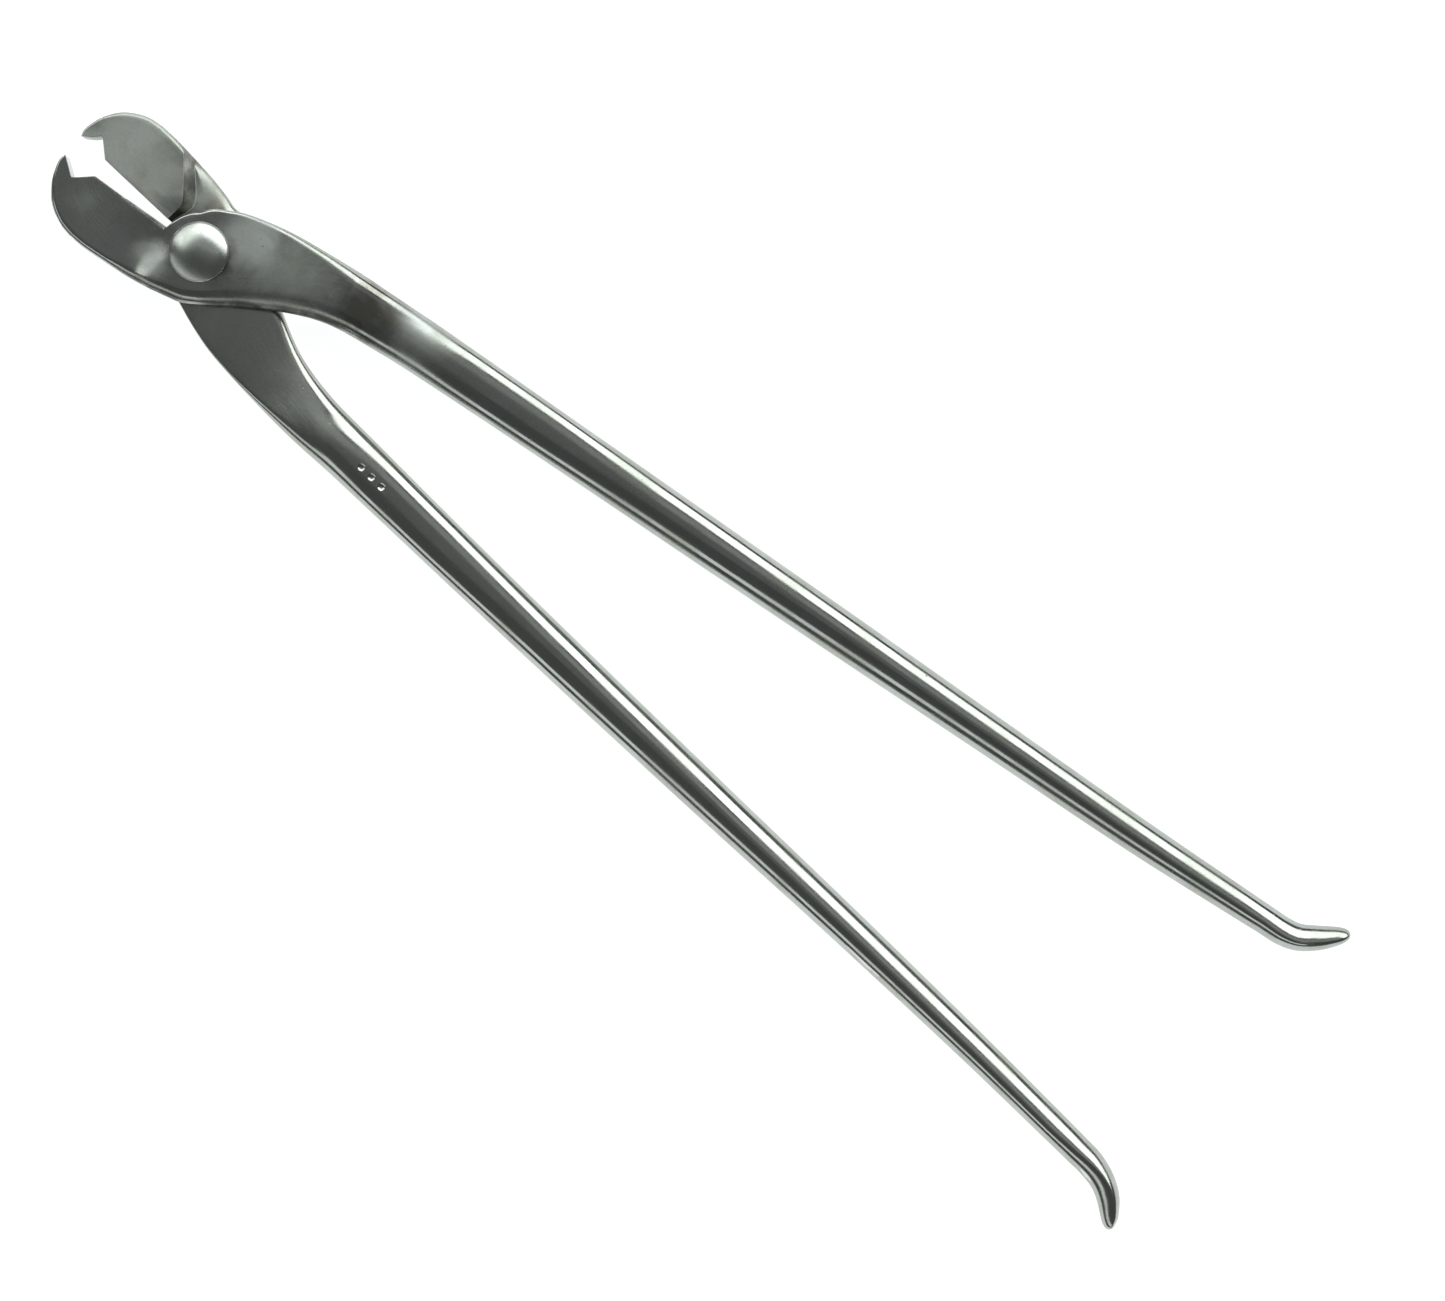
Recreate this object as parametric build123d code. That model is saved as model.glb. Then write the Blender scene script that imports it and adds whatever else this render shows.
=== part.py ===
"""Farrier's pincers: two forged arms that cross in a lap joint and turn on one rivet.

Each arm is drawn closed, in its own frame: the pivot at the origin, +X out along the line where the
jaws meet, the jaw on the +Y side, the rein (handle) on the -Y side, z = 0 in the joint plane between
the two arms and the arm's own half of the joint above it. The rear arm is the same forging turned
over about X, with its rein bent a little less. The finished tool stands on the flat of the rivet's
rear head, at z = 0, with the domed head up, and rests with its jaws part open.
"""

import os
from math import asin, cos, radians, sin

from build123d import *

# Jaws
JAW_REACH = 39.2         # pivot to jaw tip
JAW_THICKNESS = 9.5
JAW_BEVEL = 0.8          # along the back of each jaw
NOTCH_DEPTH = 3.3        # nail notch behind the tip, half in each jaw
NOTCH_RISE = 4.0         # length of its heel side along the edge
NOTCH_FLOOR = 0.6
NICK = 22.7              # the front arm's edge is ground to here, and as forged behind
NICK_STEP = 0.4
LIP = 0.35               # how far that forged edge leans past the meeting line at its root
NICK_LIP = 0.12          # and at the nick
EDGE_RELIEF = 0.45       # the rear arm's edge stands back this far at its root
JAW_ROOT = 9.9
REST_OPENING = 8.25      # angle between the two meeting edges as the tool lies at rest

# Lap joint
BOSS_RADIUS = 9.6        # the round of each boss, which faces the other arm's jaw
BOSS_TOP = 5.8           # outer face of the boss above the joint plane
BOSS_EDGE = 0.8          # edge radius around the boss
LAP_GAP = 0.05           # each lap face stands this far off the joint plane
RAMP_BOSS = 6.5          # the outer face drops from boss to jaw between these two x
RAMP_JAW = 10.0

# Rivet
SHANK_RADIUS = 4.0
BORE_CLEARANCE = 0.05    # radial, in the rear arm, which turns on the shank
HEAD_RADIUS = 7.2
HEAD_RIM = 0.7
HEAD_DOME = 2.1
SET_HEAD_RADIUS = 6.8
SET_HEAD_HEIGHT = 1.6
SET_HEAD_FLAT = 4.6      # radius of the flat that the tool stands on
SET_HEAD_SWELL = (6.1, 0.5)  # radius and height of a point half way up its side
JOINT_HEIGHT = SET_HEAD_HEIGHT + BOSS_TOP

# Reins
LAP_END = -28.0          # the lap face runs flat to here, then sinks to full thickness at LAP_FOOT
LAP_FOOT = -62.0
CREST_END = -33.0        # the outer face falls from boss height to rein height between these
CREST_FOOT = -50.0
SLENDERNESS = 0.74       # thickness over width where the rein leaves the neck; at its end they are equal
ROUNDING = 1.6           # how soon along the rein it gets there
REIN_ROUND = 0.42        # corner radius over thickness or width, the less of them, along the rein
NECK_ROUND = 0.8         # corner radius at the joint
NECK_PROUD = 0.04        # the rein's first section stands this far outside the head that it joins
REIN_WIDTH = 12.9        # where the rein leaves the neck

# The shoulder behind each jaw, clear of the other boss: its foot in the joint plane, its brow at the face
SHOULDER_FOOT = [(10.3, -4.0), (10.3, 1.0), (9.2, 4.9), (8.9, 6.6), (10.3, 8.8), (13.3, 11.7), (19.5, 17.5)]
SHOULDER_BROW = [(10.9, -4.0), (10.9, 1.0), (10.9, 3.8), (11.6, 5.6), (14.0, 8.5), (16.7, 11.5), (22.2, 17.5)]
POCKET_BEHIND = [(-60.0, 17.5), (-60.0, -30.0), (10.3, -30.0)]

# Each arm's own outline.
# edge: the meeting edge from its root to the part ground true; notch: x of the notch's heel
# back: a jaw's back, from just behind the tip to the boss; outer: on from there to the neck
# side: lower edge of the boss; neck: (x, lower y, upper y)
# rein: (x, centre y, width)
# tip, from the last of them: (x step, y step, turn outwards in degrees, width, thickness)
FRONT = {
    "edge": [(JAW_ROOT, -LIP), (NICK - NICK_STEP, -NICK_LIP), (NICK, 0.0)],
    "notch": 30.5,
    "back": [
        (39.6, 1.7), (38.8, 5.3), (36.9, 9.0), (33.6, 12.3), (29.2, 14.5), (23.0, 15.2),
        (15.0, 14.9), (5.0, 13.9),
    ],
    "side": [(3.4, -10.2), (0.0, -12.2), (-3.5, -13.9), (-9.5, -15.6)],
    "outer": [(-3.0, 12.2), (-9.8, 8.4)],
    "neck": [(-16.0, -16.9, 4.3), (-24.0, -17.8, -0.3), (-34.0, -18.7, -4.2), (-46.0, -19.2, -5.8)],
    "rein": [
        (-60.0, -13.3, 12.9), (-100.0, -14.7, 12.0), (-140.0, -16.0, 11.3), (-180.0, -17.3, 10.5),
        (-220.0, -18.6, 9.4), (-260.0, -19.9, 8.4), (-296.0, -21.8, 7.0),
    ],
    "tip": [
        (-5.0, -0.3, 10.0, 6.9, 6.9), (-9.0, -1.4, 25.0, 6.5, 6.8), (-12.9, -4.1, 38.0, 5.9, 6.5),
        (-16.15, -7.0, 41.0, 4.5, 5.6), (-17.6, -8.4, 41.0, 3.2, 4.4), (-18.4, -9.2, 41.0, 1.4, 2.4),
    ],
}
REAR = {
    "edge": [(JAW_ROOT, EDGE_RELIEF)],
    "notch": 31.2,
    "back": [
        (39.7, 1.7), (39.2, 5.2), (37.2, 9.5), (33.8, 12.9), (29.3, 14.8), (23.0, 15.3),
        (15.0, 15.0), (5.0, 14.1),
    ],
    "side": [(3.4, -9.9), (0.0, -10.8), (-3.5, -11.7), (-9.5, -13.4)],
    "outer": [(-3.0, 13.3), (-9.8, 10.7)],
    "neck": [(-16.0, -14.9, 7.5), (-24.0, -15.7, 3.3), (-34.0, -16.2, -0.7), (-46.0, -16.3, -2.5)],
    "rein": [
        (-60.0, -9.2, 13.0), (-100.0, -8.9, 11.8), (-140.0, -8.3, 10.9), (-180.0, -7.5, 9.9),
        (-220.0, -6.5, 8.8), (-260.0, -5.9, 7.8), (-296.0, -5.9, 7.0),
    ],
    "tip": [
        (-4.9, -0.1, 8.0, 6.8, 6.9), (-9.7, -1.1, 20.0, 6.1, 6.7), (-13.6, -3.1, 32.0, 5.5, 6.4),
        (-16.95, -6.0, 36.0, 4.3, 5.5), (-18.3, -7.45, 40.0, 2.8, 4.2), (-19.0, -8.1, 40.0, 1.2, 2.2),
    ],
}

# How edges are picked for their bevel and rounding
TOUCH = 0.01             # an edge this near a level lies in it
BACK_Y = 8.0             # a jaw's back edges lie above this y and are longer than LONG_EDGE
LONG_EDGE = 8.0
LENGTHWISE = 0.1         # the least X of a boss rim's direction, which leaves out the cut across the neck


def ease(x, start, end):
    """0 before start, 1 past end, smooth between."""
    t = min(max((x - start) / (end - start), 0.0), 1.0)
    return t * t * (3 - 2 * t)


def cross_section(x, y, width, outer, inner, corner, turn=0.0):
    """Rounded rectangle square to the arm, whose run has turned outwards by turn."""
    a = radians(turn)
    plane = Plane((x, y, (outer + inner) / 2), x_dir=(sin(a), -cos(a), 0), z_dir=(-cos(a), -sin(a), 0))
    return plane * RectangleRounded(width, outer - inner, corner)


def neck_section(x, low, high, proud=0.0):
    """Section between joint and rein, where both faces shift from the boss to the joint plane."""
    half = REIN_WIDTH * SLENDERNESS / 2
    sunk = ease(x, LAP_END, LAP_FOOT)
    outer = BOSS_TOP + (half - BOSS_TOP) * ease(x, CREST_END, CREST_FOOT)
    inner = LAP_GAP - (half + LAP_GAP) * sunk
    corner = NECK_ROUND + (REIN_ROUND * 2 * half - NECK_ROUND) * sunk
    return cross_section(x, (low + high) / 2, high - low + 2 * proud, outer + proud, inner, corner)


def rein_section(x, y, width, thick, turn=0.0):
    return cross_section(x, y, width, thick / 2, -thick / 2, min(thick, width) * REIN_ROUND, turn)


def rein_thickness(x, width, start, end):
    """Thickness of a rein of that width at x, where the rein runs from start to end."""
    left = (x - end) / (start - end)
    return width * (1 - (1 - SLENDERNESS) * left**ROUNDING)


def handle(shape):
    """Neck, rein and out-turned tip, as one loft, with the lap face cut flat."""
    start_x = shape["rein"][0][0]
    end_x, end_y, _ = shape["rein"][-1]
    sections = [neck_section(*shape["neck"][0], proud=NECK_PROUD)]
    sections += [neck_section(*station) for station in shape["neck"][1:]]
    for x, y, width in shape["rein"]:
        sections.append(rein_section(x, y, width, rein_thickness(x, width, start_x, end_x)))
    for dx, dy, turn, width, thick in shape["tip"]:
        sections.append(rein_section(end_x + dx, end_y + dy, width, thick, turn))
    lap = Pos((LAP_END + BOSS_RADIUS) / 2, 0, LAP_GAP - 10) * Box(BOSS_RADIUS - LAP_END, 60, 20)
    return loft(sections) - lap


def head_outline(shape):
    """Plan of jaw and boss, back to the first neck station."""
    neck_x, neck_low, neck_high = shape["neck"][0]
    on_boss = [(BOSS_RADIUS * cos(radians(a)), BOSS_RADIUS * sin(radians(a))) for a in (-55, -28, -2)]
    tip = (JAW_REACH, 0)
    side = Spline((neck_x, neck_low), *reversed(shape["side"]), on_boss[0])
    boss = ThreePointArc(*on_boss)
    heel = shape["notch"]
    floor = heel + NOTCH_RISE
    notch = [(heel, 0), (floor, NOTCH_DEPTH), (floor + NOTCH_FLOOR, NOTCH_DEPTH)]
    inner = Polyline(on_boss[-1], *shape["edge"], *notch, tip)
    back = Spline(tip, *shape["back"], *shape["outer"], (neck_x, neck_high))
    return make_face([side, boss, inner, back, Line((neck_x, neck_high), (neck_x, neck_low))])


def side_profile(neck_x):
    """What the head's faces look like from the side: jaw at its face height, boss above it."""
    face = JAW_THICKNESS / 2
    front = JAW_REACH + 2
    points = [
        (neck_x, BOSS_TOP), (RAMP_BOSS, BOSS_TOP), (RAMP_JAW, face),
        (front, face), (front, -face), (neck_x, -face),
    ]
    return extrude(Plane.XZ * make_face(Polyline(*points, close=True)), amount=30, both=True)


def lap_pocket():
    """The room behind the jaw and under the boss for the other arm."""
    foot = make_face(Polyline(*SHOULDER_FOOT, *POCKET_BEHIND, close=True))
    brow = make_face(Polyline(*SHOULDER_BROW, *POCKET_BEHIND, close=True))
    depth = JAW_THICKNESS / 2 + 1
    return loft([Pos(0, 0, LAP_GAP) * foot, Pos(0, 0, -depth) * brow], ruled=True)


def forged_edge():
    """Wedge that leans the front arm's edge, behind the nick, from the lip back to the face."""
    face = JAW_THICKNESS / 2
    across = Plane((NICK - NICK_STEP, 0, 0), x_dir=(0, 1, 0), z_dir=(-1, 0, 0))
    triangle = across * make_face(Polyline((-LIP, face), (LIP, -face - 1), (-LIP - 1, -face - 1), close=True))
    return extrude(triangle, amount=NICK - JAW_ROOT)


def head(shape):
    """Jaw and boss, with the shoulder behind the jaw, its bevelled back and the boss's rounded edge."""
    neck_x = shape["neck"][0][0]
    face = JAW_THICKNESS / 2
    solid = Pos(0, 0, -face) * extrude(head_outline(shape), amount=BOSS_TOP + face)
    solid = solid & side_profile(neck_x)
    solid -= lap_pocket()
    on_face = [e for e in solid.edges() if abs(abs(e.center().Z) - face) < TOUCH]
    back = [e for e in on_face if e.center().Y > BACK_Y and e.length > LONG_EDGE]
    solid = chamfer(back, JAW_BEVEL)
    on_boss = [e for e in solid.edges() if abs(e.center().Z - BOSS_TOP) < TOUCH]
    rim = [e for e in on_boss if abs(e.tangent_at(0.5).X) > LENGTHWISE]
    return fillet(rim, BOSS_EDGE)


def arm(shape, bore):
    return head(shape) + handle(shape) - Cylinder(bore, 40)


def dome(radius, height):
    """Profile of a spherical cap of that rim radius and height, from its rim to the axis."""
    sphere = (radius**2 + height**2) / (2 * height)
    half = asin(radius / sphere) / 2
    middle = (sphere * sin(half), height - sphere + sphere * cos(half))
    return ThreePointArc((radius, 0), middle, (0, height))


def rivet():
    """Shank with a domed head above and a set head with a flat below, on the pivot axis."""
    top = JOINT_HEIGHT + BOSS_TOP
    rim = top + HEAD_RIM
    set_head = ThreePointArc((SET_HEAD_FLAT, 0), SET_HEAD_SWELL, (SET_HEAD_RADIUS, SET_HEAD_HEIGHT))
    shank = Polyline(
        (SET_HEAD_RADIUS, SET_HEAD_HEIGHT), (SHANK_RADIUS, SET_HEAD_HEIGHT), (SHANK_RADIUS, top),
        (HEAD_RADIUS, top), (HEAD_RADIUS, rim),
    )
    axis = Polyline((0, rim + HEAD_DOME), (0, 0), (SET_HEAD_FLAT, 0))
    profile = make_face([set_head, shank, Pos(0, rim) * dome(HEAD_RADIUS, HEAD_DOME), axis])
    return revolve(Plane.XZ * profile, Axis.Z)


def main():
    os.makedirs("parts", exist_ok=True)
    front = arm(FRONT, SHANK_RADIUS) - forged_edge()
    rear = arm(REAR, SHANK_RADIUS + BORE_CLEARANCE)
    front = Pos(0, 0, JOINT_HEIGHT) * Rot(0, 0, REST_OPENING / 2) * front
    rear = Pos(0, 0, JOINT_HEIGHT) * Rot(0, 0, -REST_OPENING / 2) * Rot(180, 0, 0) * rear
    export_step(front, "parts/front_arm.step")
    export_step(rear, "parts/rear_arm.step")
    export_step(rivet(), "parts/pivot_rivet.step")


main()
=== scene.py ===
"""Farrier's pincers: two satin forged arms on a domed rivet, seen from straight above on a pale floor."""

import bmesh
import bpy
import numpy as np
from mathutils import Matrix, Vector


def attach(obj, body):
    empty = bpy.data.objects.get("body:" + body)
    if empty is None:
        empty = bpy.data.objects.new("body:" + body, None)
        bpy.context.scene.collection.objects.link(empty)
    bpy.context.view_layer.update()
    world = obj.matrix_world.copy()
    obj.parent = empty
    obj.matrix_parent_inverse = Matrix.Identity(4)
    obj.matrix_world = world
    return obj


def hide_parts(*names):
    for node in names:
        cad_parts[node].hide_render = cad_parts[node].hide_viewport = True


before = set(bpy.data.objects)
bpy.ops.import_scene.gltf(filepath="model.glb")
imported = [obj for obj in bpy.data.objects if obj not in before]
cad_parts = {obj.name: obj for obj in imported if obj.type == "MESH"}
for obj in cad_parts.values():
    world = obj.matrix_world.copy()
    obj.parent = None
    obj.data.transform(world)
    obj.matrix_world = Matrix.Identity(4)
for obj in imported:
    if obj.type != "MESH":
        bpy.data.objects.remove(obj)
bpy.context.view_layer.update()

# ---------------------------------------------------------------- sizes, in millimetres
# As the CAD has them, but for the ramp from boss to jaw, which is drawn a little longer and softer.
MM = 0.001
JAW_FACE = 4.75          # jaw faces above and below the joint plane
BOSS_TOP = 5.8
LAP_GAP = 0.05
BOSS_RADIUS = 9.6
RAMP_BOSS, RAMP_JAW = 5.6, 10.6
RAMP_SPREAD = 3.5        # the ramp's ends lie this much farther apart, each way, at the meeting edge
LAP_END, LAP_FOOT = -28.0, -62.0
CREST_END, CREST_FOOT = -33.0, -50.0
SLENDERNESS = 0.74       # a rein's thickness over its width at its start; at its end they are equal
ROUNDING = 1.6
REIN_FROM, REIN_TO = -60.0, -296.0
NECK_WIDTH = 12.9
REST_OPENING = 8.25      # degrees between the meeting lines
SHANK_RADIUS = 4.0
BORE_CLEARANCE = 0.05
HEAD_RADIUS, HEAD_RIM, HEAD_DOME = 7.2, 0.7, 2.1
RIM_SOFTNESS = 0.45      # height over which the head's rim rounds in under the dome
SET_HEAD_RADIUS, SET_HEAD_FLAT, SET_HEAD_HEIGHT = 6.8, 4.6, 1.6
JOINT_HEIGHT = SET_HEAD_HEIGHT + BOSS_TOP

# ---------------------------------------------------------------- shape of the arms
# An arm is a row of ribs across the forging, from its inner rail (meeting edge, boss, outer side of the rein)
# to its outer rail (jaw's back, inner side of the rein). The arm's own frame has the pivot at the origin,
# +X along the meeting line, the jaw at +Y and the arm's own half of the joint at +Z.
# Jaw: (x and y on the inner rail, steps to the next rib, sharp corner there, x counts from the notch's heel)
JAW = [
    (39.2, 0.0, 5, True, False), (37.1, 1.65, 5, False, False), (4.6, 3.3, 2, True, True),
    (4.0, 3.3, 8, True, True), (0.0, 0.0, 6, True, True), (27.0, 0.0, 6, False, False),
    (22.7, 0.0, 2, True, False), (22.3, 0.0, 7, True, False), (16.5, 0.0, 8, False, False),
]
# The shoulder behind the jaw on the lap side, from the jaw's face (brow) down to the joint plane (foot)
BROW = [(10.9, 0.0), (10.9, 3.8), (11.6, 5.6), (14.0, 8.5), (16.7, 11.5), (20.05, 15.15)]
FOOT = [(10.3, 0.0), (10.3, 1.0), (9.2, 4.9), (8.9, 6.6), (10.3, 8.8), (13.3, 11.7), (16.9, 15.0)]
SHOULDER_RUN = [0.0, 0.03, 0.06, 0.09, 0.12, 0.17, 0.25, 0.4, 0.55, 0.7, 0.78, 0.84, 0.89, 0.93, 0.97, 1.0]
BROW_ROUND, FOOT_ROUND = 0.12, 0.25
JAW_ROOT = 9.9           # where the meeting edge ends on the boss's circle
BEHIND_FOOT = (15.7, 14.95)  # the outer rail across from there
# Boss: (angle on the boss's circle, x and y on the outer rail, steps)
BOSS = [
    (-2, 14.9, 14.9, 6), (-15, 11.5, 14.7, 6), (-28, 8.2, 14.35, 6), (-42, 5.0, 13.9, 6),
    (-55, 2.2, 13.35, 5),
]
# Arms. turn: about Z, in degrees; flip: turned over; bore: its radius; edge: (x, y of the meeting edge);
# lean: (x, how far the top of that edge stands in from its foot); notch: x of the notch's heel;
# back: the outer rail across from JAW's ribs; neck: (x, y of both rails); rein: (x, y of the middle, width);
# side: (x and y on the inner rail, x and y on the outer rail, steps);
# tip: (x and y from the rein's end, turn in degrees, width, thickness); punched: (x, y, z) of marks;
# ridge: (x, the share of the rein's width that lies on the inner rail's side of its crown).
ARMS = {
    "front_arm": {
        "body": "front", "turn": REST_OPENING / 2, "flip": False, "bore": SHANK_RADIUS,
        "edge": [(9.9, -0.35), (22.3, -0.12), (22.7, 0.0), (30.0, 0.0)],
        "lean": [(9.5, 0.0), (10.0, 0.63), (22.3, 0.4), (22.7, 0.0)],
        "notch": 30.5,
        "back": [
            (39.25, 0.25), (39.6, 1.8), (39.15, 4.2), (38.2, 6.8), (35.4, 10.85), (31.3, 13.7), (27.4, 14.85),
            (26.9, 14.95), (23.3, 15.2),
        ],
        "side": [
            (3.4, -10.2, -0.5, 12.8, 5), (0.0, -12.2, -3.0, 12.2, 5), (-3.5, -13.9, -6.4, 10.5, 6),
            (-9.5, -15.6, -9.8, 8.4, 6),
        ],
        "neck": [(-16.0, -16.9, 4.3), (-24.0, -17.8, -0.3), (-34.0, -18.7, -4.2), (-46.0, -19.2, -5.8)],
        "rein": [
            (-60.0, -13.3, 12.9), (-100.0, -14.7, 12.0), (-140.0, -16.0, 11.3), (-180.0, -17.3, 10.5),
            (-220.0, -18.6, 9.4), (-260.0, -19.9, 8.4), (-288.0, -21.35, 7.35), (-296.0, -21.8, 7.0),
        ],
        "tip": [
            (-5.0, -0.3, 10.0, 6.9, 6.9), (-9.0, -1.4, 25.0, 6.5, 6.8), (-12.9, -4.1, 38.0, 5.9, 6.5),
            (-16.15, -7.0, 41.0, 4.5, 5.6), (-17.5, -8.3, 41.0, 3.2, 4.4), (-18.1, -8.9, 41.0, 1.9, 3.0),
            (-18.35, -9.1, 41.0, 0.6, 1.0),
        ],
        "punched": [],
        "ridge": [(-315, 0.66), (-306, 0.66), (-296, 0.6), (-240, 0.54), (-170, 0.5)],
    },
    "rear_arm": {
        "body": "rear", "turn": -REST_OPENING / 2, "flip": True, "bore": SHANK_RADIUS + BORE_CLEARANCE,
        "edge": [(9.9, 0.45), (30.0, 0.0)],
        "notch": 31.2,
        "back": [
            (39.25, 0.25), (39.7, 1.8), (39.4, 4.3), (38.5, 7.2), (35.9, 11.15), (31.5, 14.1), (27.4, 15.1),
            (26.9, 15.15), (23.3, 15.25),
        ],
        "lean": [(0.0, 0.0), (40.0, 0.0)],
        "side": [
            (3.4, -9.9, -0.5, 13.65, 5), (0.0, -10.8, -3.0, 13.3, 5), (-3.5, -11.7, -6.4, 12.2, 6),
            (-9.5, -13.4, -9.8, 10.7, 6),
        ],
        "neck": [(-16.0, -14.9, 7.5), (-24.0, -15.7, 3.3), (-34.0, -16.2, -0.7), (-46.0, -16.3, -2.5)],
        "rein": [
            (-60.0, -9.2, 13.0), (-100.0, -8.9, 11.8), (-140.0, -8.3, 10.9), (-180.0, -7.5, 9.9),
            (-220.0, -6.5, 8.8), (-260.0, -5.9, 7.8), (-288.0, -5.87, 7.2), (-296.0, -5.9, 7.0),
        ],
        "tip": [
            (-4.9, -0.1, 8.0, 6.8, 6.9), (-9.7, -1.1, 20.0, 6.1, 6.7), (-13.6, -3.1, 32.0, 5.5, 6.4),
            (-16.95, -6.0, 36.0, 4.3, 5.5), (-18.2, -7.4, 40.0, 2.8, 4.2), (-18.75, -7.9, 40.0, 1.7, 2.8),
            (-18.95, -8.1, 40.0, 0.6, 1.0),
        ],
        "punched": [(-62.8, -9.3, -4.83), (-66.1, -9.3, -4.83), (-69.4, -9.3, -4.82)],
        "ridge": [
            (-315, 0.68), (-308, 0.66), (-300, 0.48), (-290, 0.38), (-240, 0.42), (-190, 0.46), (-130, 0.5),
        ],
    },
}
# Rounded edges of the jaw, boss and neck at a place along the arm. Each edge has its width across the face,
# its depth down the side and its fullness, where 1 is a straight bevel and 2 a quarter round.
# (x, own face's inner edge, its outer edge, lap face's inner edge, its outer edge)
EDGES = [
    (39, (0.1, 0.2, 2.0), (0.3, 0.2, 1.5), (0.1, 0.2, 2.0), (0.3, 0.2, 1.5)),
    (34, (0.15, 0.3, 2.0), (0.9, 0.7, 1.3), (0.15, 0.3, 2.0), (0.8, 0.6, 1.3)),
    (14, (0.15, 0.3, 2.0), (1.0, 0.9, 1.3), (0.15, 0.3, 2.0), (1.2, 0.9, 1.4)),
    (10.5, (0.5, 0.6, 2.0), (1.8, 1.3, 1.5), (0.2, 0.3, 2.0), (5.5, 1.6, 2.0)),
    (0, (0.8, 0.9, 2.0), (3.0, 2.1, 1.7), (0.3, 0.3, 2.0), (7.0, 2.5, 2.0)),
    (-10, (1.2, 1.2, 2.0), (4.0, 2.7, 1.8), (0.3, 0.3, 2.0), (5.0, 1.6, 2.0)),
    (-25, (2.2, 2.2, 2.0), (4.6, 3.0, 1.8), (0.7, 0.6, 2.0), (2.2, 1.4, 2.0)),
    (-34, (3.7, 3.4, 2.1), (4.2, 3.2, 1.9), (1.7, 1.5, 2.0), (2.6, 2.0, 2.0)),
    (-46, (3.6, 3.8, 2.2), (3.4, 3.9, 1.6), (2.9, 3.2, 2.0), (3.4, 3.6, 2.0)),
]
# Fullness of the reins' section: (x, on the inner rail's side, on the outer's)
REIN_SECTION = [
    (-46, 2.1, 2.0), (-54, 2.15, 2.1), (-66, 2.8, 2.5), (-90, 2.9, 2.5), (-120, 2.45, 2.15),
    (-190, 2.1, 1.85), (-240, 2.0, 1.75), (-290, 1.85, 1.65), (-305, 1.65, 1.6), (-311, 1.7, 1.7),
    (-315, 1.9, 1.9),
]
SWELL = 0.012            # how much a face's middle stands above its edges, over its width, from the boss back
REIN_START, REIN_FULL = -38.0, -62.0
CAP = 0.96               # share of half the thickness by which a rein's face drops to its sides
EDGE_STEPS = 10          # mesh divisions around each rounded edge
ROUNDED_SHARE = 0.92     # the most of a face's width that its two rounded edges may take
WALL_SHARE = 0.95        # the most of a side's height that they may take
LEAST_SLANT = 0.35       # sine of the smallest angle between a rib and its rail that widens an edge
FACE_STEPS = 18          # across the flat of a face
WALL_STEPS = 3           # up a side
SHARP_EDGE = 32          # degrees


def ease(x, start, end):
    """0 before start, 1 past end, smooth between."""
    t = np.clip((x - start) / (end - start), 0.0, 1.0)
    return t * t * (3 - 2 * t)


def spline(points, steps):
    """Catmull-Rom curve through the points, with that many steps after each one but the last."""
    p = np.array(points, float)
    ends = np.vstack([2 * p[0] - p[1], p, 2 * p[-1] - p[-2]])
    rows = []
    for k, count in enumerate(steps):
        a, b, c, d = ends[k : k + 4]
        t = (np.arange(count) / count)[:, None]
        square, cube = 2 * a - 5 * b + 4 * c - d, 3 * b - a - 3 * c + d
        rows.append(0.5 * (2 * b + (c - a) * t + square * t**2 + cube * t**3))
    return np.vstack(rows + [p[-1:]])


def cornered(points, steps, corners):
    """The same, but broken at the corners, so that it runs straight from one corner to the next."""
    stops = [k for k in range(len(points)) if k in (0, len(points) - 1) or corners[k]]
    rows = [spline(points[a : b + 1], steps[a:b])[:-1] for a, b in zip(stops, stops[1:])]
    return np.vstack(rows + [np.array(points[-1:], float)])


def column(table, x, k):
    """Column k of a table whose column 0 is x, read off at x."""
    rows = np.array(sorted(table))
    return np.interp(x, rows[:, 0], rows[:, k])


def ribs(spec):
    """Points on both rails, steps between ribs, corners on the inner rail, shoulder's first and last rib."""
    inner, outer, steps, corner = [], [], [], []

    def rib(a, b, count, sharp=False):
        inner.append(a)
        outer.append(b)
        steps.append(count)
        corner.append(sharp)

    def edge(x, y=0.0):
        return (x, y + float(column(spec["edge"], x, 1)) if y == 0 else y)

    for (x, y, count, sharp, in_notch), back in zip(JAW, spec["back"]):
        rib((x + spec["notch"], y) if in_notch else edge(x, y), back, count, sharp)
    brow = len(inner)
    for u, step_on in zip(SHOULDER_RUN, SHOULDER_RUN[1:] + [None]):
        x = BROW[0][0] * (1 - u) + FOOT[0][0] * u
        back = np.array(BROW[-1]) * (1 - u) + np.array(FOOT[-1]) * u
        rib(edge(x), tuple(back), 1 if step_on else 2)
    foot = len(inner) - 1
    rib(edge(JAW_ROOT), BEHIND_FOOT, 1, True)
    for angle, x, y, count in BOSS:
        a = np.radians(angle)
        rib((BOSS_RADIUS * np.cos(a), BOSS_RADIUS * np.sin(a)), (x, y), count, angle == BOSS[0][0])
    for ax, ay, bx, by, count in spec["side"]:
        rib((ax, ay), (bx, by), count)
    for x, low, high in spec["neck"]:
        rib((x, low), (x, high), 8)
    for x, y, width in spec["rein"]:
        rib((x, y - width / 2), (x, y + width / 2), 14)
    steps[-2:] = [4, 4]  # closer together, on the way into the tip
    end_x, end_y, _ = spec["rein"][-1]
    for dx, dy, turn, width, _ in spec["tip"]:
        a = np.radians(turn)
        across = np.array([np.sin(a), -np.cos(a)]) * width / 2
        centre = np.array([end_x + dx, end_y + dy])
        rib(tuple(centre + across), tuple(centre - across), 4)
    return inner, outer, steps, corner, brow, foot


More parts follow.
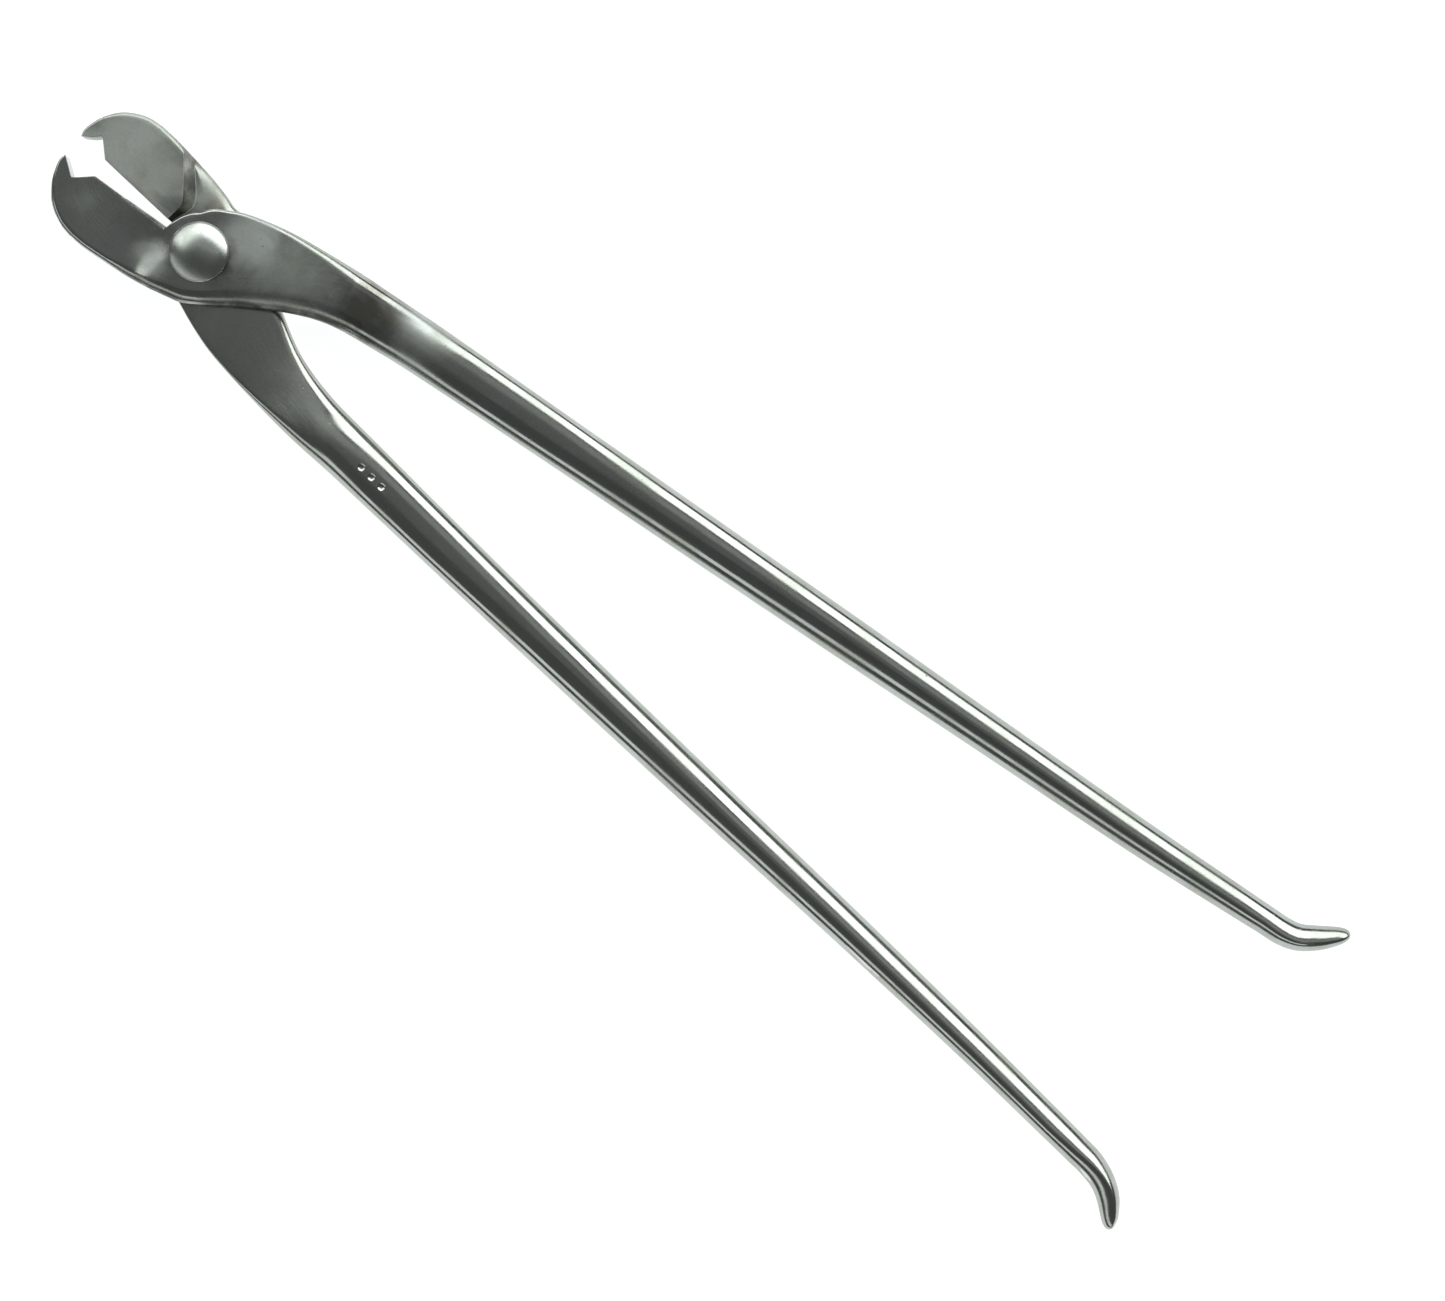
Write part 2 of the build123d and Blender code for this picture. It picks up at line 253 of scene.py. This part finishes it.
def bent(curve, t):
    """How far a shoulder line bends away from the straight rib between its ends, at fractions t across."""
    line = spline(curve, [12] * (len(curve) - 1))
    run = np.concatenate([[0], np.cumsum(np.linalg.norm(np.diff(line, axis=0), axis=1))])
    t = np.asarray(t)
    there = np.stack([np.interp(t, run / run[-1], line[:, k]) for k in (0, 1)], axis=-1)
    return there - (line[0] + (line[-1] - line[0]) * t[..., None])


def rounded(edge):
    """Offsets and drops round an edge of that width, depth and fullness, from the side to the face."""
    width, depth, fullness = edge
    a = np.linspace(0, np.pi / 2, EDGE_STEPS + 1)
    offset = width[:, None] * (1 - np.cos(a)[None, :] ** (2 / fullness[:, None]))
    drop = depth[:, None] * (1 - np.sin(a)[None, :] ** (2 / fullness[:, None]))
    return offset, drop


def rein_half(x, length, half, ridge):
    """The same across a whole rein: one swelling curve from side to side."""
    share = column(ridge, x, 1)[:, None]
    a = np.linspace(0, np.pi, 2 * EDGE_STEPS + FACE_STEPS + 1)[None, :]
    on_inner, on_outer = (column(REIN_SECTION, x, k)[:, None] for k in (1, 2))
    fullness = np.where(a < np.pi / 2, on_inner, on_outer)
    reach = np.abs(np.cos(a)) ** (2 / fullness)
    offset = np.where(a < np.pi / 2, share * (1 - reach), share + (1 - share) * reach)
    drop = CAP * half[:, None] * (1 - np.abs(np.sin(a)) ** (2 / fullness))
    return offset * length[:, None], drop


def face_half(inner, outer, half, ridge, own):
    """Places across and drops over one face and its two rounded edges, from inner to outer rail."""
    x_mid = (inner[:, 0] + outer[:, 0]) / 2
    length = np.linalg.norm(outer - inner, axis=1)
    across = (outer - inner) / length[:, None]
    edges = []
    for rail, k in ((inner, 1 if own else 3), (outer, 2 if own else 4)):
        along = np.gradient(rail, axis=0)
        along /= np.linalg.norm(along, axis=1)[:, None] + 1e-9
        slant = np.abs(across[:, 0] * along[:, 1] - across[:, 1] * along[:, 0])
        rows = sorted([(row[0], *row[k]) for row in EDGES])
        width, depth, fullness = (column(rows, x_mid, n) for n in (1, 2, 3))
        edges.append([width / np.clip(slant, LEAST_SLANT, 1), depth, fullness])
    shrink = np.minimum(1, ROUNDED_SHARE * length / (edges[0][0] + edges[1][0]))
    for edge in edges:
        edge[0] = edge[0] * shrink
        edge[1] = edge[1] * shrink
    off_in, drop_in = rounded(edges[0])
    off_out, drop_out = rounded(edges[1])
    flat = np.linspace(0, 1, FACE_STEPS + 1)[1:-1][None, :]
    start, stop = off_in[:, -1:], length[:, None] - off_out[:, -1:]
    offset = np.hstack([off_in, start + (stop - start) * flat, (length[:, None] - off_out)[:, ::-1]])
    swell = SWELL * (stop - start) * ease(-x_mid, -4, 20)[:, None]
    drop = np.hstack([drop_in + swell, swell * (2 * flat - 1) ** 2, drop_out[:, ::-1] + swell])
    rein_offset, rein_drop = rein_half(x_mid, length, half, ridge)
    w = ease(-x_mid, -REIN_START, -REIN_FULL)[:, None]
    return (offset * (1 - w) + rein_offset * w) / length[:, None], drop * (1 - w) + rein_drop * w


def arm_mesh(name, spec):
    """An arm in its own frame, as a closed mesh of loops, one at each station along it."""
    inner_pts, outer_pts, steps, corner, brow, foot = ribs(spec)
    inner = cornered(inner_pts, steps[:-1], corner)
    outer = spline(outer_pts, steps[:-1])
    place = np.concatenate([[0], np.cumsum(steps[:-1])])
    at_brow, at_foot = place[brow], place[foot]
    station = np.arange(len(inner))
    x_mid = (inner[:, 0] + outer[:, 0]) / 2
    width = np.minimum(np.linalg.norm(outer - inner, axis=1), NECK_WIDTH)
    left = np.clip((x_mid - REIN_TO) / (REIN_FROM - REIN_TO), 0, 1)
    thick = np.where(x_mid > REIN_FROM, NECK_WIDTH, width) * (1 - (1 - SLENDERNESS) * left**ROUNDING)
    tip = place[-len(spec["tip"]) - 1]
    knots = [width[tip]] + [row[4] for row in spec["tip"]]
    thick[tip:] = np.interp(station[tip:], place[-len(spec["tip"]) - 1 :], knots)
    half = thick / 2

    lean = column(spec["lean"], inner[:, 0], 1) * (inner[:, 1] < 1)
    lean[at_foot + 3 :] = 0
    top_inner = inner + np.stack([0 * lean, lean], axis=1)
    t_own, drop_own = face_half(top_inner, outer, half, spec["ridge"], True)
    plan_own = top_inner[:, None, :] + (outer - top_inner)[:, None, :] * t_own[:, :, None]
    x = plan_own[:, :, 0]
    spread = RAMP_SPREAD * (1 - ease(plan_own[:, :, 1], 1, 8))
    ramp = ease(x, RAMP_BOSS - spread, RAMP_JAW + spread)
    crest = ease(-x, -CREST_END, -CREST_FOOT)
    top = BOSS_TOP + (JAW_FACE - BOSS_TOP) * ramp
    top = top + (half[:, None] - top) * crest

    t_lap, drop_lap = face_half(inner, outer, half, spec["ridge"], False)
    plan_lap = inner[:, None, :] + (outer - inner)[:, None, :] * t_lap[:, :, None]
    u = np.interp(station, np.arange(at_brow, at_foot + 1), SHOULDER_RUN)
    fade = ease(station, place[brow - 2], at_brow) * (1 - ease(station, at_foot, place[foot + 8]))
    bend = (1 - u)[:, None, None] * bent(BROW, t_lap) + u[:, None, None] * bent(FOOT, t_lap)
    plan_lap = plan_lap + fade[:, None, None] * bend
    full_rise = 1 - BROW_ROUND / 2 - FOOT_ROUND / 2
    rise = np.where(u < BROW_ROUND, u**2 / (2 * BROW_ROUND), u - BROW_ROUND / 2)
    rise = np.where(u > 1 - FOOT_ROUND, full_rise - (1 - u) ** 2 / (2 * FOOT_ROUND), rise)
    rise = rise / full_rise
    sunk = ease(-plan_lap[:, :, 0], -LAP_END, -LAP_FOOT)
    low = -JAW_FACE + (LAP_GAP + JAW_FACE) * rise[:, None]
    low = low + (-half[:, None] - low) * sunk
    height, drops = top - low, drop_own + drop_lap
    room = WALL_SHARE * np.minimum(height[:, 0], height[:, -1])
    taken = np.maximum(drops[:, 0], drops[:, -1])
    fit = np.minimum(1, room / taken)[:, None]
    z_own = top - drop_own * fit
    z_lap = low + drop_lap * fit

    own = np.dstack([plan_own, z_own])
    lap = np.dstack([plan_lap, z_lap])[:, ::-1]
    rise_in = np.linspace(0, 1, WALL_STEPS + 1)[1:-1][None, :, None]
    wall_out = own[:, -1:] * (1 - rise_in) + lap[:, :1] * rise_in
    wall_in = lap[:, -1:] * (1 - rise_in) + own[:, :1] * rise_in
    loops = np.concatenate([own, wall_out, lap, wall_in], axis=1)
    return solid_of(name, loops)


def solid_of(name, loops):
    """Closed mesh over the loops, with a map for the grain: along the loops' row, then round each loop."""
    rows, ring = loops.shape[:2]
    mid = loops.mean(axis=1)
    along = np.concatenate([[0], np.cumsum(np.linalg.norm(np.diff(mid, axis=0), axis=1))])
    steps = np.linalg.norm(np.diff(np.concatenate([loops, loops[:, :1]], axis=1), axis=1), axis=2)
    around = np.concatenate([np.zeros((rows, 1)), np.cumsum(steps, axis=1)], axis=1)
    around -= around[:, -1:] / 2
    faces = []
    grain = []
    for s in range(rows - 1):
        for k in range(ring):
            n = (k + 1) % ring
            faces.append((s * ring + k, (s + 1) * ring + k, (s + 1) * ring + n, s * ring + n))
            grain += [
                (along[s], around[s, k]), (along[s + 1], around[s + 1, k]),
                (along[s + 1], around[s + 1, k + 1]), (along[s], around[s, k + 1]),
            ]
    for s in (0, rows - 1):
        cap = tuple(range(s * ring, (s + 1) * ring))
        faces.append(cap if s else cap[::-1])
        grain += [(along[s], around[s, k % ring]) for k in (range(ring) if s else range(ring - 1, -1, -1))]
    mesh = bpy.data.meshes.new(name)
    mesh.from_pydata((loops.reshape(-1, 3) * MM).tolist(), [], faces)
    layer = mesh.uv_layers.new(name="grain")
    layer.data.foreach_set("uv", (np.array(grain) * MM).ravel())
    mesh.validate()
    return mesh


def finish_mesh(mesh):
    """Outward normals and smooth shading, but for edges sharper than SHARP_EDGE."""
    bm = bmesh.new()
    bm.from_mesh(mesh)
    bmesh.ops.recalc_face_normals(bm, faces=bm.faces)
    bm.to_mesh(mesh)
    bm.free()
    mesh.polygons.foreach_set("use_smooth", [True] * len(mesh.polygons))
    mesh.set_sharp_from_angle(angle=np.radians(SHARP_EDGE))


def place_object(name, mesh, matrix, body, replaced, material):
    """The finished piece in place, riding on its body instead of the CAD node."""
    mesh.transform(matrix)
    finish_mesh(mesh)
    obj = bpy.data.objects.new(name, mesh)
    bpy.context.scene.collection.objects.link(obj)
    mesh.materials.append(material)
    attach(obj, body)
    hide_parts(replaced)
    return obj


def lathe(name, profile, divisions=128):
    """Solid of revolution about Z from (radius, height) points that start and end on the axis."""
    verts = [(0, 0, profile[0][1])]
    faces = []
    rings = profile[1:-1]
    for radius, height in rings:
        for k in range(divisions):
            a = 2 * np.pi * k / divisions
            verts.append((radius * np.cos(a), radius * np.sin(a), height))
    verts.append((0, 0, profile[-1][1]))
    last = len(verts) - 1
    for k in range(divisions):
        n = (k + 1) % divisions
        faces.append((0, 1 + n, 1 + k))
        faces.append((last, last - divisions + k, last - divisions + n))
        for r in range(len(rings) - 1):
            a = 1 + r * divisions
            faces.append((a + k, a + n, a + divisions + n, a + divisions + k))
    mesh = bpy.data.meshes.new(name)
    mesh.from_pydata((np.array(verts) * MM).tolist(), [], faces)
    mesh.validate()
    return mesh


def hole(radius):
    """Cutter for the rivet's hole, along the arm's Z."""
    return lathe("hole", [(0, -20), (radius, -20), (radius, 20), (0, 20)])


def dent(x, y, z):
    """Cutter for a round punch mark in a face at z, on the lap side."""
    ball, depth = 1.5, 0.4
    a = np.linspace(-np.pi / 2, np.pi / 2, 13)
    profile = [(0, -ball)] + [(ball * np.cos(t), ball * np.sin(t)) for t in a[1:-1]] + [(0, ball)]
    mesh = lathe("dent", profile, 40)
    mesh.transform(Matrix.Translation((x * MM, y * MM, (z - ball + depth) * MM)))
    return mesh


def carved(mesh, cutters):
    """The mesh with the cutters' shapes taken out of it."""
    finish_mesh(mesh)
    body = bpy.data.objects.new("blank", mesh)
    tools = [bpy.data.objects.new("cutter", cutter) for cutter in cutters]
    for o in [body] + tools:
        bpy.context.scene.collection.objects.link(o)
    for tool in tools:
        finish_mesh(tool.data)
        cut = body.modifiers.new("cut", "BOOLEAN")
        cut.operation = "DIFFERENCE"
        cut.solver = "EXACT"
        cut.object = tool
    bpy.context.view_layer.update()
    done = bpy.data.meshes.new_from_object(body.evaluated_get(bpy.context.evaluated_depsgraph_get()))
    for o in [body] + tools:
        bpy.data.objects.remove(o)
    return done


def rivet_mesh():
    """Set head with a flat, shank, and a domed head with a soft rim; heights above the floor."""
    top = JOINT_HEIGHT + BOSS_TOP
    rim = top + HEAD_RIM
    points = [(0, 0), (SET_HEAD_FLAT * 0.5, 0)]
    for t in np.linspace(0, 1, 9):
        a = t * np.pi / 2
        radius = SET_HEAD_FLAT + (SET_HEAD_RADIUS - SET_HEAD_FLAT) * np.sin(a)
        points.append((radius, SET_HEAD_HEIGHT * (1 - np.cos(a))))
    points += [(SHANK_RADIUS, SET_HEAD_HEIGHT), (SHANK_RADIUS, top)]
    points += [(HEAD_RADIUS - 0.1, top), (HEAD_RADIUS, top + 0.12)]
    side = HEAD_RADIUS - 0.02
    draw_in = RIM_SOFTNESS * 0.35
    for t in np.linspace(0, 1, 6):
        points.append((side - draw_in * t**2, rim - RIM_SOFTNESS * (1 - t)))
    sphere = (HEAD_RADIUS**2 + HEAD_DOME**2) / (2 * HEAD_DOME)
    for r in np.linspace(side - draw_in - 0.15, 0, 32):
        points.append((r, rim + HEAD_DOME - sphere + np.sqrt(sphere**2 - r**2)))
    return lathe("pivot_rivet_worn", points)


# ---------------------------------------------------------------- finish
class Tree:
    """Short hand for building a material's nodes."""

    def __init__(self, name):
        self.material = bpy.data.materials.new(name)
        self.material.use_nodes = True
        self.nodes = self.material.node_tree.nodes
        self.links = self.material.node_tree.links
        self.nodes.clear()

    def add(self, kind, inputs=None, **settings):
        node = self.nodes.new(kind)
        for key, value in settings.items():
            setattr(node, key, value)
        for key, value in (inputs or {}).items():
            self.put(node.inputs[key], value)
        return node

    def put(self, socket, value):
        if isinstance(value, bpy.types.NodeSocket):
            self.links.new(value, socket)
        else:
            socket.default_value = value

    def math(self, operation, a, b=0.0):
        return self.add("ShaderNodeMath", {0: a, 1: b}, operation=operation).outputs[0]

    def noise(self, vector, scale, detail=3.0, roughness=0.5, distortion=0.0):
        made = {"Vector": vector, "Scale": scale, "Detail": detail, "Roughness": roughness}
        return self.add("ShaderNodeTexNoise", made | {"Distortion": distortion}).outputs["Fac"]

    def ramp(self, value, low, high, out_low=0.0, out_high=1.0):
        made = {"Value": value, "From Min": low, "From Max": high, "To Min": out_low, "To Max": out_high}
        return self.add("ShaderNodeMapRange", made, interpolation_type="SMOOTHSTEP").outputs["Result"]

    def mix(self, factor, a, b):
        node = self.add("ShaderNodeMix", data_type="RGBA")
        for socket, value in ((node.inputs[0], factor), (node.inputs[6], a), (node.inputs[7], b)):
            self.put(socket, value)
        return node.outputs[2]


def near(t, place, x, y, radius, wobble):
    """1 at that point of the plan, in metres, and 0 past the radius, with a rim as uneven as the noise."""
    away = t.add("ShaderNodeVectorMath", {0: place, 1: (x, y, 0.0)}, operation="SUBTRACT").outputs["Vector"]
    flat = t.add("ShaderNodeVectorMath", {0: away, 1: (1, 1, 0)}, operation="MULTIPLY").outputs["Vector"]
    far = t.add("ShaderNodeVectorMath", {0: flat}, operation="LENGTH").outputs["Value"]
    far = t.math("ADD", far, t.ramp(wobble, 0.3, 0.7, -0.25 * radius, 0.25 * radius))
    return t.ramp(far, 0.05 * radius, radius, 1.0, 0.0)


def steel(name, base, dull, rough, stains_and_shade=(), scale=(), matte=(), grain=1.0):
    """Satin forged steel: cloudy colour, lengthwise grain, fine pits, bright edges of wear and painted
    highlight.
    Spots are (x, y, radius, strength), in metres and seen from above. stains: brown heat tint and painted
    shadow;
    scale: painted shade, near black, on the upright sides near the joint; matte: dull patches."""
    t = Tree(name)
    place = t.add("ShaderNodeTexCoord").outputs["Object"]
    lay = t.add("ShaderNodeUVMap", uv_map="grain").outputs["UV"]
    run = t.add("ShaderNodeMapping", {"Vector": lay, "Scale": (60, 3200, 1)}).outputs["Vector"]
    long_run = t.add("ShaderNodeMapping", {"Vector": lay, "Scale": (12, 420, 1)}).outputs["Vector"]
    fine = t.noise(run, 1.0, 3.0, 0.6)
    broad = t.noise(long_run, 1.0, 3.0, 0.55)
    cloud = t.noise(place, 75.0, 4.0, 0.55, 0.6)
    patch = t.noise(place, 190.0, 3.0, 0.6)
    speckle = t.noise(place, 1900.0, 2.0, 0.6)
    pit = t.ramp(t.noise(place, 900.0, 2.0, 0.5), 0.71, 0.79)
    geometry = t.add("ShaderNodeNewGeometry")
    edge_wear_and_highlight = t.ramp(geometry.outputs["Pointiness"], 0.508, 0.56)
    tilt = t.add("ShaderNodeSeparateXYZ", {0: geometry.outputs["Normal"]}).outputs["Z"]
    upright = t.ramp(t.math("ABSOLUTE", tilt), 0.78, 0.95, 1.0, 0.0)

    colour = t.mix(t.ramp(cloud, 0.35, 0.68), base, dull)
    colour = t.mix(t.ramp(patch, 0.45, 0.8, 0.0, 0.3), colour, (0.31, 0.32, 0.28, 1))
    colour = t.mix(t.ramp(speckle, 0.35, 0.75, 0.0, 0.22), colour, (0.62, 0.65, 0.62, 1))
    gloss = t.ramp(cloud, 0.3, 0.7, rough - 0.04, rough + 0.06)
    gloss = t.math("ADD", gloss, t.ramp(fine, 0.2, 0.8, -0.03, 0.04))
    # Brown spots: heat tint, and painted shadow where a spot is put for it.
    for x, y, radius, strength in stains_and_shade:
        mask = t.math("MULTIPLY", near(t, place, x, y, radius, patch), strength)
        colour = t.mix(mask, colour, (0.19, 0.175, 0.145, 1))
    for x, y, radius, strength in matte:
        gloss = t.math("ADD", gloss, t.math("MULTIPLY", near(t, place, x, y, radius, cloud), strength))
    # Painted shade: upright sides round each spot darkened to near black, for shade on walls near the joint.
    for x, y, radius, strength in scale:
        mask = t.math("MULTIPLY", near(t, place, x, y, radius, patch), t.math("MULTIPLY", upright, strength))
        colour = t.mix(mask, colour, (0.06, 0.06, 0.05, 1))
        gloss = t.math("ADD", gloss, t.math("MULTIPLY", mask, 0.2))
    colour = t.mix(t.ramp(pit, 0, 1, 0, 0.55), colour, (0.10, 0.09, 0.075, 1))
    # Convex edges lightened by pointiness: edge wear, and a painted highlight line along edges such as the
    # brow.
    colour = t.mix(t.ramp(edge_wear_and_highlight, 0, 1, 0, 0.7), colour, (0.72, 0.74, 0.72, 1))
    gloss = t.math("ADD", gloss, t.ramp(pit, 0, 1, 0, 0.25))
    gloss = t.math("SUBTRACT", gloss, t.ramp(edge_wear_and_highlight, 0, 1, 0, 0.04))

    height = t.math("MULTIPLY", fine, 0.5 * grain)
    height = t.math("ADD", height, t.math("MULTIPLY", broad, 0.7 * grain))
    height = t.math("ADD", height, t.math("MULTIPLY", speckle, 0.8))
    height = t.math("SUBTRACT", height, t.math("MULTIPLY", pit, 2.2))
    height = t.math("ADD", height, t.math("MULTIPLY", patch, 1.4))
    bump = t.add("ShaderNodeBump", {"Height": height, "Strength": 0.5, "Distance": 0.00001})
    shader = t.add(
        "ShaderNodeBsdfPrincipled",
        {"Base Color": colour, "Metallic": 1.0, "Roughness": gloss, "Normal": bump.outputs["Normal"]},
    )
    out = t.add("ShaderNodeOutputMaterial")
    t.links.new(shader.outputs[0], out.inputs["Surface"])
    return t.material


def floor_material():
    t = Tree("pale_floor")
    place = t.add("ShaderNodeTexCoord").outputs["Object"]
    colour = t.mix(t.ramp(t.noise(place, 4.0), 0.2, 0.8), (0.39, 0.395, 0.395, 1), (0.41, 0.41, 0.41, 1))
    glow = {"Emission Color": (0.98, 0.99, 1.0, 1), "Emission Strength": 0.9}
    shader = t.add("ShaderNodeBsdfPrincipled", {"Base Color": colour, "Roughness": 0.8} | glow)
    out = t.add("ShaderNodeOutputMaterial")
    t.links.new(shader.outputs[0], out.inputs["Surface"])
    return t.material


# ---------------------------------------------------------------- the object
# Spots lie in plan, as (x, y, radius, strength), in metres.
FRONT_STEEL = steel(
    "front_steel", (0.43, 0.455, 0.435, 1), (0.35, 0.37, 0.33, 1), 0.15,
    stains_and_shade=[
        (0.0095, 0.002, 0.006, 0.5), (0.016, 0.003, 0.009, 0.3), (-0.039, -0.0155, 0.013, 0.8),
        # This spot at the rim of the rivet head, on its side away from the light, is painted shadow.
        (-0.0056, -0.0020, 0.0068, 1.0),
    ],
    # Painted shade on upright walls along the meeting edge and over the lap, where the arms shade each other.
    scale=[
        (0.0125, 0.0015, 0.0055, 0.95), (0.0175, 0.0018, 0.006, 0.9), (0.021, 0.002, 0.004, 0.8),
        (0.007, 0.0149, 0.007, 0.6), (-0.001, 0.0125, 0.008, 0.8), (-0.010, 0.0077, 0.009, 0.8),
        (-0.0165, 0.0030, 0.009, 0.8), (-0.024, -0.0020, 0.010, 0.75), (-0.034, -0.0066, 0.010, 0.7),
    ],
    matte=[
        (0.024, 0.010, 0.022, 0.06), (0.0283, 0.0075, 0.006, 0.12), (0.0072, 0.0092, 0.007, 0.36),
        (-0.0060, -0.0105, 0.011, 0.26), (-0.019, -0.010, 0.020, 0.24), (-0.053, -0.0200, 0.014, 0.24),
    ],
)
REAR_STEEL = steel(
    "rear_steel", (0.45, 0.475, 0.445, 1), (0.38, 0.40, 0.36, 1), 0.15,
    stains_and_shade=[(0.004, -0.0105, 0.006, 0.6)],
    # Painted shade on the upright walls of the shoulder behind the jaw.
    scale=[(0.011, -0.004, 0.008, 0.8), (0.0135, -0.0105, 0.007, 0.75), (0.0175, -0.015, 0.005, 0.7)],
    matte=[(0.027, -0.008, 0.028, 0.4), (0.008, -0.0135, 0.009, 0.3), (-0.030, 0.010, 0.022, 0.04)],
)
RIVET_STEEL = steel("rivet_steel", (0.44, 0.47, 0.44, 1), (0.37, 0.39, 0.355, 1), 0.27, grain=0.0)

for part, spec in ARMS.items():
    cutters = [hole(spec["bore"])] + [dent(*mark) for mark in spec["punched"]]
    mesh = carved(arm_mesh(part + "_forged", spec), cutters)
    matrix = Matrix.Translation((0, 0, JOINT_HEIGHT * MM)) @ Matrix.Rotation(np.radians(spec["turn"]), 4, "Z")
    if spec["flip"]:
        matrix = matrix @ Matrix.Rotation(np.pi, 4, "X")
    finish = REAR_STEEL if spec["flip"] else FRONT_STEEL
    place_object(part + "_forged", mesh, matrix, spec["body"], part, finish)
still = Matrix.Identity(4)
place_object("pivot_rivet_worn", rivet_mesh(), still, "front", "pivot_rivet", RIVET_STEEL)

# ---------------------------------------------------------------- floor, lights and camera
VIEW_AT = Vector((-0.1547, -0.0084, 0.0074))
CAMERA_HEIGHT = 1.4
CAMERA_TURN = 220.375    # degrees about Z: the photograph's right is down the reins and to -Y


def floor():
    mesh = bpy.data.meshes.new("floor")
    mesh.from_pydata([(-6, -6, 0), (6, -6, 0), (6, 6, 0), (-6, 6, 0)], [], [(0, 1, 2, 3)])
    obj = bpy.data.objects.new("floor", mesh)
    bpy.context.scene.collection.objects.link(obj)
    mesh.materials.append(floor_material())


def softbox(name, aim, azimuth, zenith, distance, size, radiance, tint=(1, 1, 1)):
    """Rectangular light of that radiance, which faces the aim point from azimuth and zenith in degrees."""
    az, ze = np.radians(azimuth), np.radians(zenith)
    away = Vector((np.sin(ze) * np.cos(az), np.sin(ze) * np.sin(az), np.cos(ze)))
    data = bpy.data.lights.new(name, "AREA")
    data.shape = "RECTANGLE"
    data.size, data.size_y = size
    data.energy = radiance * np.pi * size[0] * size[1]
    data.color = tint
    obj = bpy.data.objects.new(name, data)
    obj.location = aim + away * distance
    obj.rotation_euler = away.to_track_quat("Z", "Y").to_euler()
    bpy.context.scene.collection.objects.link(obj)
    return obj


def lights():
    aim = Vector((-0.13, -0.005, 0.0))
    softbox("key", aim, -80, 53, 1.5, (2.6, 1.0), 2.6, (0.97, 1.0, 0.985))
    softbox("key_end", aim, -8, 51, 1.5, (1.1, 0.8), 2.0, (0.97, 1.0, 0.985))
    softbox("haze", aim, -75, 19, 1.6, (1.8, 0.5), 0.2)
    softbox("haze_wide", aim, -80, 9, 1.7, (2.0, 0.9), 0.07)
    softbox("fill", aim, 90, 58, 1.5, (3.0, 0.45), 1.0, (0.98, 1.0, 1.0))
    world = bpy.data.worlds.new("studio")
    world.use_nodes = True
    world.node_tree.nodes["Background"].inputs["Color"].default_value = (0.95, 1.0, 1.0, 1)
    world.node_tree.nodes["Background"].inputs["Strength"].default_value = 0.1
    bpy.context.scene.world = world


def camera():
    data = bpy.data.cameras.new("camera")
    data.sensor_width = 36
    data.lens = 36 / 2 / (0.3417 / 2 / CAMERA_HEIGHT)
    obj = bpy.data.objects.new("camera", data)
    obj.location = VIEW_AT + Vector((0, 0, CAMERA_HEIGHT))
    obj.rotation_euler = (0, 0, np.radians(CAMERA_TURN))
    bpy.context.scene.collection.objects.link(obj)
    bpy.context.scene.camera = obj


floor()
lights()
camera()
bpy.context.scene.view_settings.view_transform = "Standard"
